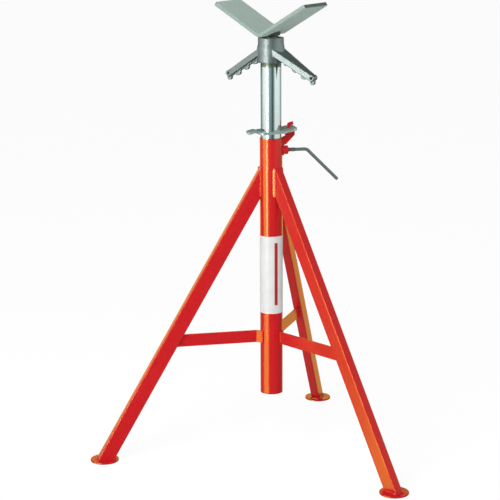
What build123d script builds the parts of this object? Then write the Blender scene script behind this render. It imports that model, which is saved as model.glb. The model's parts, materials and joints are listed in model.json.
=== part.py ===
# High pipe jack stand: a welded three-legged stand, a sliding inner tube held by a jam plate and a lock
# screw, and a jack screw under a V saddle, raised by a winged nut. Millimetres, +Z up. The origin is on the
# floor under the tubes' axis, and +X points to the side of the hook bracket and the lock screw.
import math
import os

from build123d import *

os.makedirs("parts", exist_ok=True)

# Fits, and how far a cut runs past what it cuts
running_gap = 0.08
guide_gap = 0.325
seat_gap = 0.25
overrun = 6.0

# Outer tube
outer_tube_od = 44.45
outer_tube_wall = 1.9
outer_tube_length = 514.7
outer_tube_floor_gap = 119.6

# Inner tube, at the height that the photograph shows
inner_tube_wall = 2.6
inner_tube_length = 620.0
inner_tube_showing = 137.7

# Legs, feet and braces
leg_count = 3
leg_azimuth = 60.0
leg_apex_below_rim = 49.0
leg_depth = 29.5
leg_width = 18.0
leg_wall = 1.9
leg_corner = 2.4
foot_circle_radius = 339.3
foot_diameter = 56.0
foot_thickness = 3.5
brace_width = 24.5
brace_thickness = 3.0
brace_centre_height = 236.5
brace_bend_from_tube = 8.3
brace_bend_angle = 40.0
brace_bend_radius = 4.5

# Label
label_thickness = 0.3
label_glue = 0.05
label_length = 155.6
label_start_height = 166.3
label_seam_gap = 2.5

# Lock screw and its weld nut
lock_depth_below_rim = 25.3
lock_nut_od = 17.0
lock_nut_height = 11.0
lock_thread_diameter = 7.9
lock_thread_end_showing = 14.0
lock_rod_diameter = 6.4
lock_rod_reach = 71.0
lock_rod_tail_length = 88.0
lock_rod_drop_angle = 45.0
lock_rod_bend_radius = 12.0
lock_chamfer = 0.8

# Jam plate: a flat part round the inner tube, an end bent up to the bracket, and a curled finger tab
jam_thickness = 4.8
jam_width = 56.0
jam_tilt = 3.0
jam_hole_diameter = 41.0
jam_height_above_rim = 12.0
jam_left_reach = 26.5
jam_bend_reach = 22.0
jam_end_length = 25.5
jam_end_rise_angle = 8.7
jam_corner = 9.0
jam_bend_radius = 7.0
jam_tab_width = 26.0
jam_tab_crest_reach = 32.5
jam_tab_crest_rise = 3.6
jam_tab_tip_reach = 46.5
jam_tab_tip_rise = 0.4
jam_tab_corner = 5.0

# Hook bracket
bracket_thickness = 5.0
bracket_inner_reach = 27.4
bracket_pivot_reach = 44.2
bracket_pivot_radius = 2.0
bracket_rim_step_height = 1.8
bracket_outer_height = 9.5
bracket_elbow_reach = 29.6
bracket_elbow_depth = 13.9
bracket_bottom_depth = 16.3
hook_bar_reach = 34.2
hook_bar_width = 5.6
hook_bar_height = 16.6
hook_tip_reach = 43.6
hook_tip_rise = 2.6
hook_bend_radius = 4.0
hook_slot_gap = 1.3

# Bushing in the inner tube's top, and the thrust washer on it
bushing_flange = 4.6
bushing_length = 25.0
washer_thickness = 3.0
washer_inset = 0.6

# Jack screw and what is fixed to it
screw_diameter = 28.6
screw_travel = 88.9
screw_chamfer = 1.5
spigot_diameter = 16.0
spigot_recess = 0.4
stop_thickness = 4.0
stop_side_gap = 0.6
stop_end_gap = 0.25
stop_bolt_diameter = 10.0
stop_bolt_length = 22.0
stop_bolt_head = 6.4
stop_bolt_across_flats = 16.0

# Wing nut: hub and two channel wings with a scalloped web
hub_height = 48.0
hub_top_radius = 25.0
hub_body_radius = 26.6
hub_step_drop = 15.2
hub_edge = 1.2
nut_turn = -43.4
wing_slope = 31.2
wing_start_radius = 16.0
wing_start_height = 27.4
wing_root_width = 43.0
wing_tip_width = 15.5
wing_reach = 93.0
wing_roof_thickness = 4.0
wing_skirt_thickness = 3.8
wing_skirt_depth = 13.4
web_thickness = 6.5
web_depth = 15.0
lobe_count = 3
lobe_first_radius = 35.5
lobe_pitch = 19.4
lobe_depth = 21.0
lobe_radius = 7.0
tip_boss_radius = 5.6
tip_hole_radius = 2.4
lug_length = 9.4
lug_thickness = 7.0
lug_centre_radius = 92.6
lug_drop = 38.6

# V saddle and its boss
saddle_turn = -42.5
saddle_arm_length = 116.0
saddle_width = 92.0
saddle_thickness = 7.0
saddle_rise_angle = 31.0
saddle_inner_bend = 6.0
saddle_corner = 4.0
saddle_above_hub = 3.4
boss_diameter = 36.0
boss_above_hub = 0.8
boss_neck_height = 3.0
boss_neck_diameter = 29.0


def azimuth(degrees):
    """Turn about the tubes' axis."""
    return Rot(0, 0, degrees)


def ring(radius, bore, low, high):
    """A round tube or washer standing on the tubes' axis between two heights."""
    height = high - low
    wall = Circle(radius) - Circle(bore)
    return Pos(0, 0, low) * extrude(wall, height)


def round_bar(radius, low, high):
    """A solid round bar standing on the tubes' axis between two heights."""
    return Pos(0, 0, low) * extrude(Circle(radius), high - low)


def radial_bar(radius, start, end, level):
    """A round bar along +X at a height."""
    return Pos(start, 0, level) * Rot(0, 90, 0) * extrude(Circle(radius), end - start)


def polar(length, degrees):
    """A step of a given length in a profile plane."""
    angle = math.radians(degrees)
    return Vector(length * math.cos(angle), length * math.sin(angle))


def keep(solid):
    """The one solid of a result."""
    return solid.solids()[0]


# Heights and radii that several pieces share
outer_radius = outer_tube_od / 2
outer_bore = outer_radius - outer_tube_wall
rim_level = outer_tube_floor_gap + outer_tube_length
lock_level = rim_level - lock_depth_below_rim
jam_level = rim_level + jam_height_above_rim
inner_radius = outer_bore - guide_gap
inner_bore = inner_radius - inner_tube_wall
inner_top = rim_level + inner_tube_showing
inner_bottom = inner_top - inner_tube_length
screw_radius = screw_diameter / 2
washer_bottom = inner_top + bushing_flange
hub_bottom = washer_bottom + washer_thickness
hub_top = hub_bottom + hub_height
nodes = {}


# Outer tube, drilled for the lock screw
lock_hole_radius = lock_thread_diameter / 2 + guide_gap
outer_tube = ring(outer_radius, outer_bore, outer_tube_floor_gap, rim_level)
outer_tube -= radial_bar(lock_hole_radius, inner_radius, outer_radius + overrun, lock_level)
nodes["outer_tube"] = outer_tube


# Legs: rectangular tube, coped onto the outer tube at the top and cut level on the foot disc
leg_foot = Vector(foot_circle_radius, 0, 0)
leg_apex = Vector(0, 0, rim_level - leg_apex_below_rim)
leg_line = leg_apex - leg_foot


def leg_run(depth, width, corner):
    """The leg's section, carried along the leg's line past both of its cuts."""
    start = leg_foot - leg_line.normalized() * leg_depth
    section = Plane(origin=start, x_dir=(0, 1, 0), z_dir=leg_line)
    return extrude(section * RectangleRounded(width, depth, corner), leg_line.length + leg_depth)


leg_inside = leg_corner - leg_wall
tube_room = round_bar(outer_radius, 0, rim_level + overrun)
on_top = (Align.CENTER, Align.CENTER, Align.MAX)
at_left = (Align.MAX, Align.CENTER, Align.CENTER)
below_legs = Box(foot_circle_radius, foot_circle_radius, foot_circle_radius, align=on_top)
below_legs = Pos(foot_circle_radius, 0, foot_thickness) * below_legs
far_side = Box(foot_circle_radius, foot_circle_radius, rim_level * 2, align=at_left)
leg_outside = leg_run(leg_depth, leg_width, leg_corner)
leg_hollow = leg_run(leg_depth - 2 * leg_wall, leg_width - 2 * leg_wall, leg_inside)
leg = keep(leg_outside - leg_hollow - tube_room - below_legs - far_side)

# Foot disc
foot = Pos(leg_foot) * extrude(Circle(foot_diameter / 2), foot_thickness)

# Brace: a strap on edge from the leg's inner face, bent aside so that its end lies against the tube
brace_bend = outer_radius + brace_bend_from_tube
brace_path = FilletPolyline(
    Vector(foot_circle_radius, 0),
    Vector(brace_bend, 0),
    Vector(brace_bend, 0) + polar(brace_bend, 180 - brace_bend_angle),
    radius=brace_bend_radius,
)
brace = extrude(trace(brace_path, brace_thickness), brace_width)
brace = Pos(0, 0, brace_centre_height - brace_width / 2) * brace
brace -= tube_room
brace -= leg_outside
brace = brace.solids().sort_by(SortBy.VOLUME)[-1]

for number in range(leg_count):
    turn = azimuth(leg_azimuth + number * 360 / leg_count)
    nodes[f"leg_{number + 1}"] = turn * leg
    nodes[f"foot_{number + 1}"] = turn * foot
    nodes[f"brace_{number + 1}"] = turn * brace


# Label: a thin sleeve round the outer tube with its seam at the back
label_bore = outer_radius + label_glue
label_radius = label_bore + label_thickness
label_bottom = outer_tube_floor_gap + label_start_height
label = ring(label_radius, label_bore, label_bottom, label_bottom + label_length)
label -= Pos(0, label_radius, label_bottom) * Box(label_seam_gap, label_radius, label_length * 2)
nodes["label"] = label


# Weld nut of the lock screw, coped onto the tube
lock_nut_face = outer_radius + lock_nut_height
lock_nut = radial_bar(lock_nut_od / 2, 0, lock_nut_face, lock_level)
lock_nut = chamfer(lock_nut.edges().filter_by(GeomType.CIRCLE).sort_by(Axis.X)[-1], lock_chamfer)
lock_nut -= radial_bar(lock_thread_diameter / 2 + running_gap, 0, lock_nut_face, lock_level)
lock_nut -= round_bar(outer_radius, 0, rim_level)
nodes["lock_nut"] = lock_nut

# Lock screw: threaded end and a bent rod for a handle
lock_tip = inner_radius + seat_gap
lock_thread_end = lock_nut_face + lock_thread_end_showing
lock_thread_bar = radial_bar(lock_thread_diameter / 2, lock_tip, lock_thread_end, lock_level)
inner_end = lock_thread_bar.edges().filter_by(GeomType.CIRCLE).sort_by(Axis.X)[0]
lock_thread_bar = chamfer(inner_end, lock_chamfer)
rod_bend = Vector(lock_rod_reach, lock_level)
rod_path = Plane.XZ * FilletPolyline(
    Vector(lock_thread_end, lock_level),
    rod_bend,
    rod_bend + polar(lock_rod_tail_length, -lock_rod_drop_angle),
    radius=lock_rod_bend_radius,
)
rod_start = Plane(origin=rod_path @ 0, z_dir=rod_path % 0)
lock_rod_bar = sweep(rod_start * Circle(lock_rod_diameter / 2), path=rod_path)
rod_end = lock_rod_bar.edges().filter_by(GeomType.CIRCLE).sort_by(Axis.X)[-1]
lock_rod_bar = chamfer(rod_end, lock_chamfer)
nodes["lock_screw"] = lock_thread_bar + lock_rod_bar


# Jam plate, seen from the side in a plane that tilts with its flat part
jam_side = Plane(
    origin=(0, 0, jam_level),
    x_dir=(math.cos(math.radians(jam_tilt)), 0, math.sin(math.radians(jam_tilt))),
    z_dir=(0, -1, 0),
)
jam_bend = Vector(jam_bend_reach, 0)
jam_end = jam_bend + polar(jam_end_length, jam_end_rise_angle)
jam_path = FilletPolyline(
    Vector(-jam_tab_tip_reach, jam_tab_tip_rise),
    Vector(-jam_tab_crest_reach, jam_tab_crest_rise),
    Vector(-jam_left_reach, 0),
    jam_bend,
    jam_end,
    radius=jam_bend_radius,
)
jam_strip = extrude(jam_side * trace(jam_path, jam_thickness), jam_width / 2, both=True)
jam_body_length = jam_left_reach + jam_end.X
jam_body_centre = (jam_end.X - jam_left_reach) / 2
jam_tab_length = jam_tab_tip_reach
jam_outline = Pos(jam_body_centre, 0) * RectangleRounded(jam_body_length, jam_width, jam_corner)
jam_outline += Pos(-jam_tab_length / 2, 0) * RectangleRounded(
    jam_tab_length + jam_tab_corner, jam_tab_width, jam_tab_corner
)
jam_flat = Plane(
    origin=jam_side.origin,
    x_dir=jam_side.x_dir,
    z_dir=(-math.sin(math.radians(jam_tilt)), 0, math.cos(math.radians(jam_tilt))),
)
jam_plate = jam_strip & extrude(jam_flat * jam_outline, jam_width, both=True)
jam_plate -= extrude(jam_flat * Circle(jam_hole_diameter / 2), jam_width, both=True)
slot_length = hook_bar_width + 2 * hook_slot_gap
slot_width = bracket_thickness + 2 * hook_slot_gap
jam_plate -= Pos(hook_bar_reach, 0, jam_level) * Box(slot_length, slot_width, jam_width)
nodes["jam_plate"] = keep(jam_plate)

# Hook bracket: the shoulder follows the plate's raised end, and its round outer corner is the plate's pivot
end_angle = jam_tilt + jam_end_rise_angle
bend_point = Vector(0, jam_level) + polar(jam_bend_reach, jam_tilt)
shoulder_drop = jam_thickness / 2 + seat_gap
end_direction = polar(1, end_angle)
end_normal = polar(1, end_angle + 90)


def shoulder_point(reach):
    """The point of the shoulder line at a distance from the tubes' axis."""
    start = bend_point - end_normal * shoulder_drop
    return start + end_direction * ((reach - start.X) / end_direction.X)


shoulder_end = shoulder_point(bracket_pivot_reach)
pivot = shoulder_end - end_normal * bracket_pivot_radius
bottom_level = rim_level - bracket_bottom_depth
bracket_face = make_face(
    Polyline(
        Vector(0, bottom_level),
        Vector(outer_radius, bottom_level),
        Vector(bracket_elbow_reach, rim_level - bracket_elbow_depth),
        Vector(pivot.X + bracket_pivot_radius, pivot.Y - bracket_outer_height),
        Vector(pivot.X + bracket_pivot_radius, pivot.Y),
        pivot,
        shoulder_end,
        shoulder_point(bracket_inner_reach),
        Vector(bracket_inner_reach, rim_level + bracket_rim_step_height),
        Vector(outer_radius, rim_level),
        Vector(0, rim_level),
        close=True,
    )
)
bracket_face += Pos(pivot.X, pivot.Y) * Circle(bracket_pivot_radius)
hook_foot = shoulder_point(hook_bar_reach) - Vector(0, bracket_thickness)
hook_top = Vector(hook_bar_reach, shoulder_point(hook_bar_reach).Y + hook_bar_height - bracket_thickness)
hook_path = FilletPolyline(
    hook_foot,
    hook_top,
    Vector(hook_tip_reach, hook_top.Y + hook_tip_rise),
    radius=hook_bend_radius,
)
bracket_face += trace(hook_path, hook_bar_width)
hook_bracket = extrude(Plane.XZ * bracket_face, bracket_thickness / 2, both=True)
hook_bracket -= round_bar(outer_radius, 0, rim_level + overrun)
nodes["hook_bracket"] = keep(hook_bracket)


# Inner tube with the guide bushing pressed into its top
nodes["inner_tube"] = ring(inner_radius, inner_bore, inner_bottom, inner_top)
screw_guide = screw_radius + guide_gap
bushing = ring(inner_radius, screw_guide, inner_top, washer_bottom)
bushing += ring(inner_bore, screw_guide, inner_top - bushing_length, inner_top)
nodes["tube_bushing"] = bushing

# Thrust washer between the bushing's flange and the nut
nodes["thrust_washer"] = ring(inner_radius - washer_inset, screw_guide, washer_bottom, hub_bottom)


# Wing nut: hub
def wing_top(radius):
    """Height of a wing's top face above the hub's bottom, at a distance from the axis."""
    return wing_start_height - (radius - wing_start_radius) * math.tan(math.radians(wing_slope))


def wing_band(start, end, top_depth, low_depth):
    """A wing's side view between two radii, as a band between two depths under its top face."""
    return make_face(
        Polyline(
            Vector(start, wing_top(start) - top_depth),
            Vector(end, wing_top(end) - top_depth),
            Vector(end, wing_top(end) - low_depth),
            Vector(start, wing_top(start) - low_depth),
            close=True,
        )
    )


def wing_plan(inset):
    """A wing's tapering outline from above, drawn in from its sides."""
    root_half = wing_root_width / 2 - inset
    tip_half = wing_tip_width / 2 - inset
    end = wing_reach - inset
    outline = make_face(
        Polyline(
            Vector(0, -root_half),
            Vector(wing_start_radius, -root_half),
            Vector(end, -tip_half),
            Vector(end, tip_half),
            Vector(wing_start_radius, root_half),
            Vector(0, root_half),
            close=True,
        )
    )
    return extrude(outline, hub_height * 2, both=True)


def across(face, width):
    """A side view given its width, evenly to both sides of the wing."""
    return extrude(Plane.XZ * face, width / 2, both=True)


def wing():
    """One wing: a tapering channel, a scalloped web in it, a pierced tip boss and a finger lug."""
    start = wing_start_radius
    shell = across(wing_band(start, wing_reach, 0, wing_skirt_depth), wing_root_width) & wing_plan(0)
    hollow = across(
        wing_band(0, wing_reach, wing_roof_thickness, wing_skirt_depth + overrun), wing_root_width
    ) & wing_plan(wing_skirt_thickness)
    web = across(wing_band(start, wing_reach, 0, web_depth), web_thickness)
    for number in range(lobe_count):
        radius = lobe_first_radius + number * lobe_pitch
        centre = Pos(radius, wing_top(radius) - lobe_depth + lobe_radius)
        web += across(centre * Circle(lobe_radius), web_thickness)
    boss_centre = Pos(wing_reach, wing_top(wing_reach) - tip_boss_radius)
    boss = across(boss_centre * Circle(tip_boss_radius), wing_tip_width)
    lug_bottom = lug_length / 2 - lug_drop
    lug_top = wing_top(lug_centre_radius) - tip_boss_radius
    lug_middle = Pos(lug_centre_radius, (lug_bottom + lug_top) / 2)
    lug = across(lug_middle * Rectangle(lug_length, lug_top - lug_bottom), lug_thickness)
    lug += across(Pos(lug_centre_radius, lug_bottom) * Circle(lug_length / 2), lug_thickness)
    tip_hole = across(boss_centre * Circle(tip_hole_radius), wing_tip_width * 2)
    return shell - hollow + web + boss + lug - tip_hole


hub_step = hub_height - hub_step_drop
hub_face = make_face(
    Polyline(
        Vector(0, 0),
        Vector(hub_body_radius - hub_edge, 0),
        Vector(hub_body_radius, hub_edge),
        Vector(hub_body_radius, hub_step - hub_edge),
        Vector(hub_top_radius, hub_step),
        Vector(hub_top_radius, hub_height - hub_edge),
        Vector(hub_top_radius - hub_edge, hub_height),
        Vector(0, hub_height),
        close=True,
    )
)
hub = revolve(Plane.XZ * hub_face, Axis.Z)
one_wing = wing()
wing_nut = hub + one_wing + azimuth(180) * one_wing
wing_nut -= round_bar(screw_radius + running_gap, -hub_height, hub_height * 2)
nodes["wing_nut"] = Pos(0, 0, hub_bottom) * azimuth(nut_turn) * keep(wing_nut)


# V saddle: one plate bent to a V, with its corners rounded
saddle_bend = saddle_inner_bend + saddle_thickness
corner_lift_share = 1 / math.cos(math.radians(saddle_rise_angle)) - 1
saddle_bottom = hub_top + saddle_above_hub
saddle_apex = Vector(0, saddle_bottom - saddle_bend * corner_lift_share)
plate_rise = saddle_thickness * (corner_lift_share + 1)


def saddle_arm_point(side, depth):
    """The end of an arm of the V, on its outer face or a depth into the plate."""
    angle = saddle_rise_angle if side > 0 else 180 - saddle_rise_angle
    return saddle_apex + polar(saddle_arm_length, angle) + polar(depth, angle + 90 * side)


saddle_outer = [saddle_arm_point(1, 0), saddle_apex, saddle_arm_point(-1, 0)]
saddle_inner = [
    saddle_arm_point(-1, saddle_thickness),
    saddle_apex + Vector(0, plate_rise),
    saddle_arm_point(1, saddle_thickness),
]
saddle_face = make_face(Polyline(*saddle_outer, *saddle_inner, close=True))
on_axis = saddle_face.vertices().sort_by(lambda v: abs(v.X))[:2].sort_by(Axis.Y)
saddle_face = fillet(on_axis[0], saddle_bend)
on_axis = saddle_face.vertices().sort_by(lambda v: abs(v.X))
saddle_face = fillet(on_axis[0], saddle_inner_bend)
v_saddle = keep(extrude(Plane.XZ * saddle_face, saddle_width / 2, both=True))
plate_corners = v_saddle.edges().filter_by(GeomType.LINE).sort_by(SortBy.LENGTH)[:4]
v_saddle = fillet(plate_corners, saddle_corner)
under_saddle = make_face(Polyline(*saddle_outer, close=True))
under_saddle = fillet(under_saddle.vertices().sort_by(Axis.Y)[0], saddle_bend)
spigot_radius = spigot_diameter / 2
trough_level = saddle_bottom + saddle_thickness
spigot_top = trough_level - spigot_recess
v_saddle -= round_bar(spigot_radius, hub_top, spigot_top + boss_diameter)

# Boss under the saddle, cut to the V
boss_bottom = hub_top + boss_above_hub
boss_face = make_face(
    Polyline(
        Vector(0, boss_bottom),
        Vector(boss_neck_diameter / 2, boss_bottom),
        Vector(boss_neck_diameter / 2, boss_bottom + boss_neck_height),
        Vector(boss_diameter / 2, boss_bottom + boss_neck_height),
        Vector(boss_diameter / 2, saddle_apex.Y + boss_diameter),
        Vector(0, saddle_apex.Y + boss_diameter),
        close=True,
    )
)
saddle_boss = revolve(Plane.XZ * boss_face, Axis.Z)
saddle_boss -= extrude(Plane.XZ * under_saddle, saddle_width, both=True)
saddle_boss -= round_bar(spigot_radius, hub_bottom, spigot_top + boss_diameter)
nodes["v_saddle"] = azimuth(saddle_turn) * keep(v_saddle)
nodes["saddle_boss"] = azimuth(saddle_turn) * keep(saddle_boss)

# Jack screw with its spigot, and the washer and bolt that stop it at the guide bushing
bushing_bottom = inner_top - bushing_length
stop_top = bushing_bottom - screw_travel - stop_end_gap
stop_bottom = stop_top - stop_thickness
bolt_radius = stop_bolt_diameter / 2
jack_screw = round_bar(screw_radius, stop_top, boss_bottom)
jack_screw = chamfer(jack_screw.edges().filter_by(GeomType.CIRCLE).sort_by(Axis.Z)[0], screw_chamfer)
jack_screw += round_bar(spigot_radius, boss_bottom, spigot_top)
jack_screw -= round_bar(bolt_radius, stop_top, stop_bottom + stop_bolt_length)
nodes["jack_screw"] = jack_screw
nodes["screw_stop"] = ring(inner_bore - stop_side_gap, bolt_radius, stop_bottom, stop_top)
bolt_head = extrude(RegularPolygon(stop_bolt_across_flats / 2, 6, major_radius=False), stop_bolt_head)
stop_bolt = Pos(0, 0, stop_bottom - stop_bolt_head) * bolt_head
stop_bolt += round_bar(bolt_radius, stop_bottom, stop_bottom + stop_bolt_length)
nodes["stop_bolt"] = stop_bolt


for name, solid in nodes.items():
    export_step(solid, f"parts/{name}.step")
print(f"{len(nodes)} nodes; jam plate pivot at x {pivot.X:.3f}, z {pivot.Y:.3f}")
print(f"rim {rim_level:.2f}, inner top {inner_top:.2f}, hub {hub_bottom:.2f} to {hub_top:.2f}")
print(f"saddle bottom {saddle_bottom:.2f}, inside {trough_level:.2f}")
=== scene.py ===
# A high pipe jack stand: a red welded three-legged stand, a zinc plated inner tube held by a jam plate
# and a lock screw, and a jack screw that lifts a V saddle when its winged cast nut is turned. Metres, +Z
# up, the origin on the floor under the tubes' axis, and +X to the side of the hook bracket and the lock
# screw.
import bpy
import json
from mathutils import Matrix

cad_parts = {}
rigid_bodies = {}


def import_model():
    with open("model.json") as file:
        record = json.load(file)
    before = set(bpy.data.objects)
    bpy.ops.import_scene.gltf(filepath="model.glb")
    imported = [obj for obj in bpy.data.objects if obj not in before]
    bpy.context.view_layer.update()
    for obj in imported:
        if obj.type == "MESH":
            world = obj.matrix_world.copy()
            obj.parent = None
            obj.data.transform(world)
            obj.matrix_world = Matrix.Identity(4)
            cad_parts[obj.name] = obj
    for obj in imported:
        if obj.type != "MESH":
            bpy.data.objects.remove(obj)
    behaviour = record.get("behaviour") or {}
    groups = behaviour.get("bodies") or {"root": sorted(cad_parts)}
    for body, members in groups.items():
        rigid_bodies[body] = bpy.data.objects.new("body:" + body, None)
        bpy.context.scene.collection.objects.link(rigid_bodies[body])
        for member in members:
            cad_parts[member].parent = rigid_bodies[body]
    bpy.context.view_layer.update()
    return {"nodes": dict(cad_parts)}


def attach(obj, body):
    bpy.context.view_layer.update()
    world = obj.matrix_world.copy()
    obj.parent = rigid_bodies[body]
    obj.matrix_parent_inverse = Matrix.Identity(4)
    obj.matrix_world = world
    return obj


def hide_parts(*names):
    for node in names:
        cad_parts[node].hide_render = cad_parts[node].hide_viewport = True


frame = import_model()

import json
import math

import bmesh
import bpy
from mathutils import Matrix, Vector, noise


# Outer tube: round welded steel tube of 44.45 mm with a 1.9 mm wall, sawn to length and drilled for the
# lock screw, then sprayed with red gloss enamel once everything is welded to it. Its rim and bore are
# bare metal.
mm = 0.001
tube_radius = 22.225 * mm
wall_middle = tube_radius - 1.0 * mm
rim_level = 634.3 * mm
masked_band = 0.7 * mm


def linear(code):
    """A colour for the shader from its sRGB hex code."""
    shares = [int(code[i:i + 2], 16) / 255 for i in (1, 3, 5)]
    return [s / 12.92 if s <= 0.04045 else ((s + 0.055) / 1.055) ** 2.4 for s in shares] + [1.0]


def feed(node, sockets):
    """Sets a node's sockets to their values, or links them to what feeds them."""
    for name, value in sockets.items():
        if isinstance(value, bpy.types.NodeSocket):
            node.id_data.links.new(value, node.inputs[name])
        else:
            node.inputs[name].default_value = value


def add(tree, kind, sockets=None, **settings):
    """One shader node with its settings and with what goes into its sockets."""
    made = tree.nodes.new(kind)
    for name, value in settings.items():
        setattr(made, name, value)
    feed(made, sockets or {})
    return made


def new_material(name):
    """A material with its tree, its shader and the point on the object in metres."""
    material = bpy.data.materials.new(name)
    material.use_nodes = True
    tree = material.node_tree
    point = add(tree, "ShaderNodeTexCoord").outputs["Object"]
    return material, tree, tree.nodes["Principled BSDF"], point


def from_axis(tree, point):
    """A point's three coordinates, and its distance from the tubes' axis."""
    parts = add(tree, "ShaderNodeSeparateXYZ", {0: point}).outputs
    flat_point = add(tree, "ShaderNodeCombineXYZ", {0: parts[0], 1: parts[1]}).outputs[0]
    return parts, add(tree, "ShaderNodeVectorMath", {0: flat_point}, operation="LENGTH").outputs["Value"]


def pick(piece):
    """Selects one piece alone, for the tools that act on what is selected."""
    bpy.ops.object.select_all(action="DESELECT")
    bpy.context.view_layer.objects.active = piece
    piece.select_set(True)


def finish_with(piece, kind, **settings):
    """Gives the picked piece a modifier with its settings, and applies it."""
    bpy.ops.object.modifier_add(type=kind)
    modifier = piece.modifiers[-1]
    for name, value in settings.items():
        setattr(modifier, name, value)
    bpy.ops.object.modifier_apply(modifier=modifier.name)


def merged_copy(node_name, piece_name):
    """A copy of one of the frame's solids, its loose triangles merged and its flat faces made whole."""
    piece = bpy.data.objects.new(piece_name, frame["nodes"][node_name].data.copy())
    bpy.context.scene.collection.objects.link(piece)
    piece.data.name = piece_name
    piece.data.materials.clear()
    pick(piece)
    bpy.ops.object.mode_set(mode="EDIT")
    bpy.ops.mesh.select_all(action="SELECT")
    bpy.ops.mesh.customdata_custom_splitnormals_clear()
    bpy.ops.mesh.remove_doubles(threshold=0.004 * mm)
    bpy.ops.mesh.dissolve_limited(angle_limit=math.radians(0.4))
    bpy.ops.object.mode_set(mode="OBJECT")
    return piece


def ease_edges(piece, width):
    """Rounds sharp edges a little, as saw, shears and paint leave them, and smooths the curved faces."""
    sharp = math.radians(38)
    pick(piece)
    if width:
        finish_with(piece, "BEVEL", width=width, segments=3, limit_method="ANGLE", angle_limit=sharp)
    bpy.ops.object.shade_smooth_by_angle(angle=sharp)
    finish_with(piece, "WEIGHTED_NORMAL", keep_sharp=True)


# Red gloss enamel, air sprayed on bare steel: a deep even red under a smooth skin that shows soft lamp
# streaks, a slight orange peel, and bare steel where the tube slides and where the feet scrape the floor.
red_enamel, tree, shader, point = new_material("red_gloss_enamel")
parts, radius = from_axis(tree, point)
# The coat's thickness drifts over about 70 mm.
drift = add(tree, "ShaderNodeTexNoise", {"Vector": point, "Scale": 1 / (70 * mm), "Detail": 2}).outputs[0]
paint = add(
    tree, "ShaderNodeMix", {0: drift, 6: linear("#C91A25"), 7: linear("#D31E2A")}, data_type="RGBA"
).outputs[2]
# Orange peel is 1 to 2 mm across; it is drawn at 4 mm so that it shows in a picture of the whole stand.
peel = add(tree, "ShaderNodeTexNoise", {"Vector": point, "Scale": 1 / (4 * mm), "Detail": 1}).outputs[0]
# Chips of 3 to 6 mm, only low on the feet, where they scrape.
chips = add(tree, "ShaderNodeTexNoise", {"Vector": point, "Scale": 1 / (5 * mm), "Detail": 4}).outputs[0]
low = add(tree, "ShaderNodeMapRange", {0: parts[2], 1: 0.2 * mm, 2: 3.4 * mm, 3: 0.62, 4: 0.0}).outputs[0]
foot_wear = add(tree, "ShaderNodeMath", {0: chips, 1: low}, operation="LESS_THAN").outputs[0]
# The saw cut at the rim was masked, so the tube is bare there and in its whole bore.
above = add(
    tree, "ShaderNodeMath", {0: parts[2], 1: rim_level - masked_band}, operation="GREATER_THAN"
).outputs[0]
on_tube = add(
    tree, "ShaderNodeMath", {0: radius, 1: tube_radius + 0.1 * mm}, operation="LESS_THAN"
).outputs[0]
rim = add(tree, "ShaderNodeMath", {0: above, 1: on_tube}, operation="MULTIPLY").outputs[0]
bore = add(tree, "ShaderNodeMath", {0: radius, 1: wall_middle}, operation="LESS_THAN").outputs[0]
bare = add(tree, "ShaderNodeMath", {0: rim, 1: bore}, operation="MAXIMUM").outputs[0]
bare = add(tree, "ShaderNodeMath", {0: bare, 1: foot_wear}, operation="MAXIMUM").outputs[0]
steel = add(
    tree, "ShaderNodeMix", {0: chips, 6: linear("#6E6F66"), 7: linear("#9A9C8E")}, data_type="RGBA"
).outputs[2]
colour = add(tree, "ShaderNodeMix", {0: bare, 6: paint, 7: steel}, data_type="RGBA").outputs[2]
roughness = add(tree, "ShaderNodeMapRange", {0: drift, 3: 0.16, 4: 0.22}).outputs[0]
bump = add(tree, "ShaderNodeBump", {"Height": peel, "Distance": 0.04 * mm, "Strength": 1.0}).outputs[0]
feed(shader, {
    "Base Color": colour, "Metallic": bare, "Roughness": roughness, "Normal": bump, "IOR": 1.5,
    "Specular Tint": linear("#FFE484"), "Coat Weight": 0.1, "Coat Roughness": 0.06,
})

outer_tube = merged_copy("outer_tube", "outer_tube_painted")
ease_edges(outer_tube, 0.35 * mm)
outer_tube.data.materials.append(red_enamel)
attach(outer_tube, "stand")
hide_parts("outer_tube")


# Legs: rectangular steel tube of 29.5 x 18 mm with rounded corners, coped round the outer tube and cut
# level at the foot. Each is welded to the tube down both its sides, and painted with the rest.
leg_azimuths = (60, 180, 300)
leg_foot = Vector((339.3 * mm, 0, 0))
leg_apex = Vector((0, 0, rim_level - 49 * mm))
leg_half_width = 9 * mm
leg_half_depth = 14.75 * mm
puddle = 4.4 * mm
puddle_step = 1.7 * mm
fillet_gap = 0.3 * mm
fillet_throat = 2.4 * mm
fillet_flattening = 0.86
fillet_ends = (leg_half_depth - 3.2 * mm, -leg_half_depth + 1.2 * mm)
# The share of each leg's fillets that faces the tube's way; the rest faces the leg's.
fillet_leans = (0.44, 0.33, 0.44)
# Each puddle strays by a share of its size, and the stray changes every 6 mm or so. The seed makes each
# run's beads the same.
stray_share = 0.09
stray_drift = 170
noise.seed_set(7)

for number in (1, 2, 3):
    leg = merged_copy(f"leg_{number}", f"leg_{number}_painted")
    ease_edges(leg, 0)
    leg.data.materials.append(red_enamel)
    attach(leg, "stand")
    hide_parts(f"leg_{number}")


def evenly(corners, step, closed):
    """Points at even steps along a run of corners."""
    points, spare = [], 0.0
    for start, end in zip(corners, corners[1:] + (corners[:1] if closed else [])):
        length = (end - start).length
        at = spare
        while at < length:
            points.append(start.lerp(end, at / length))
            at += step
        spare = at - length
    return points


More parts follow.
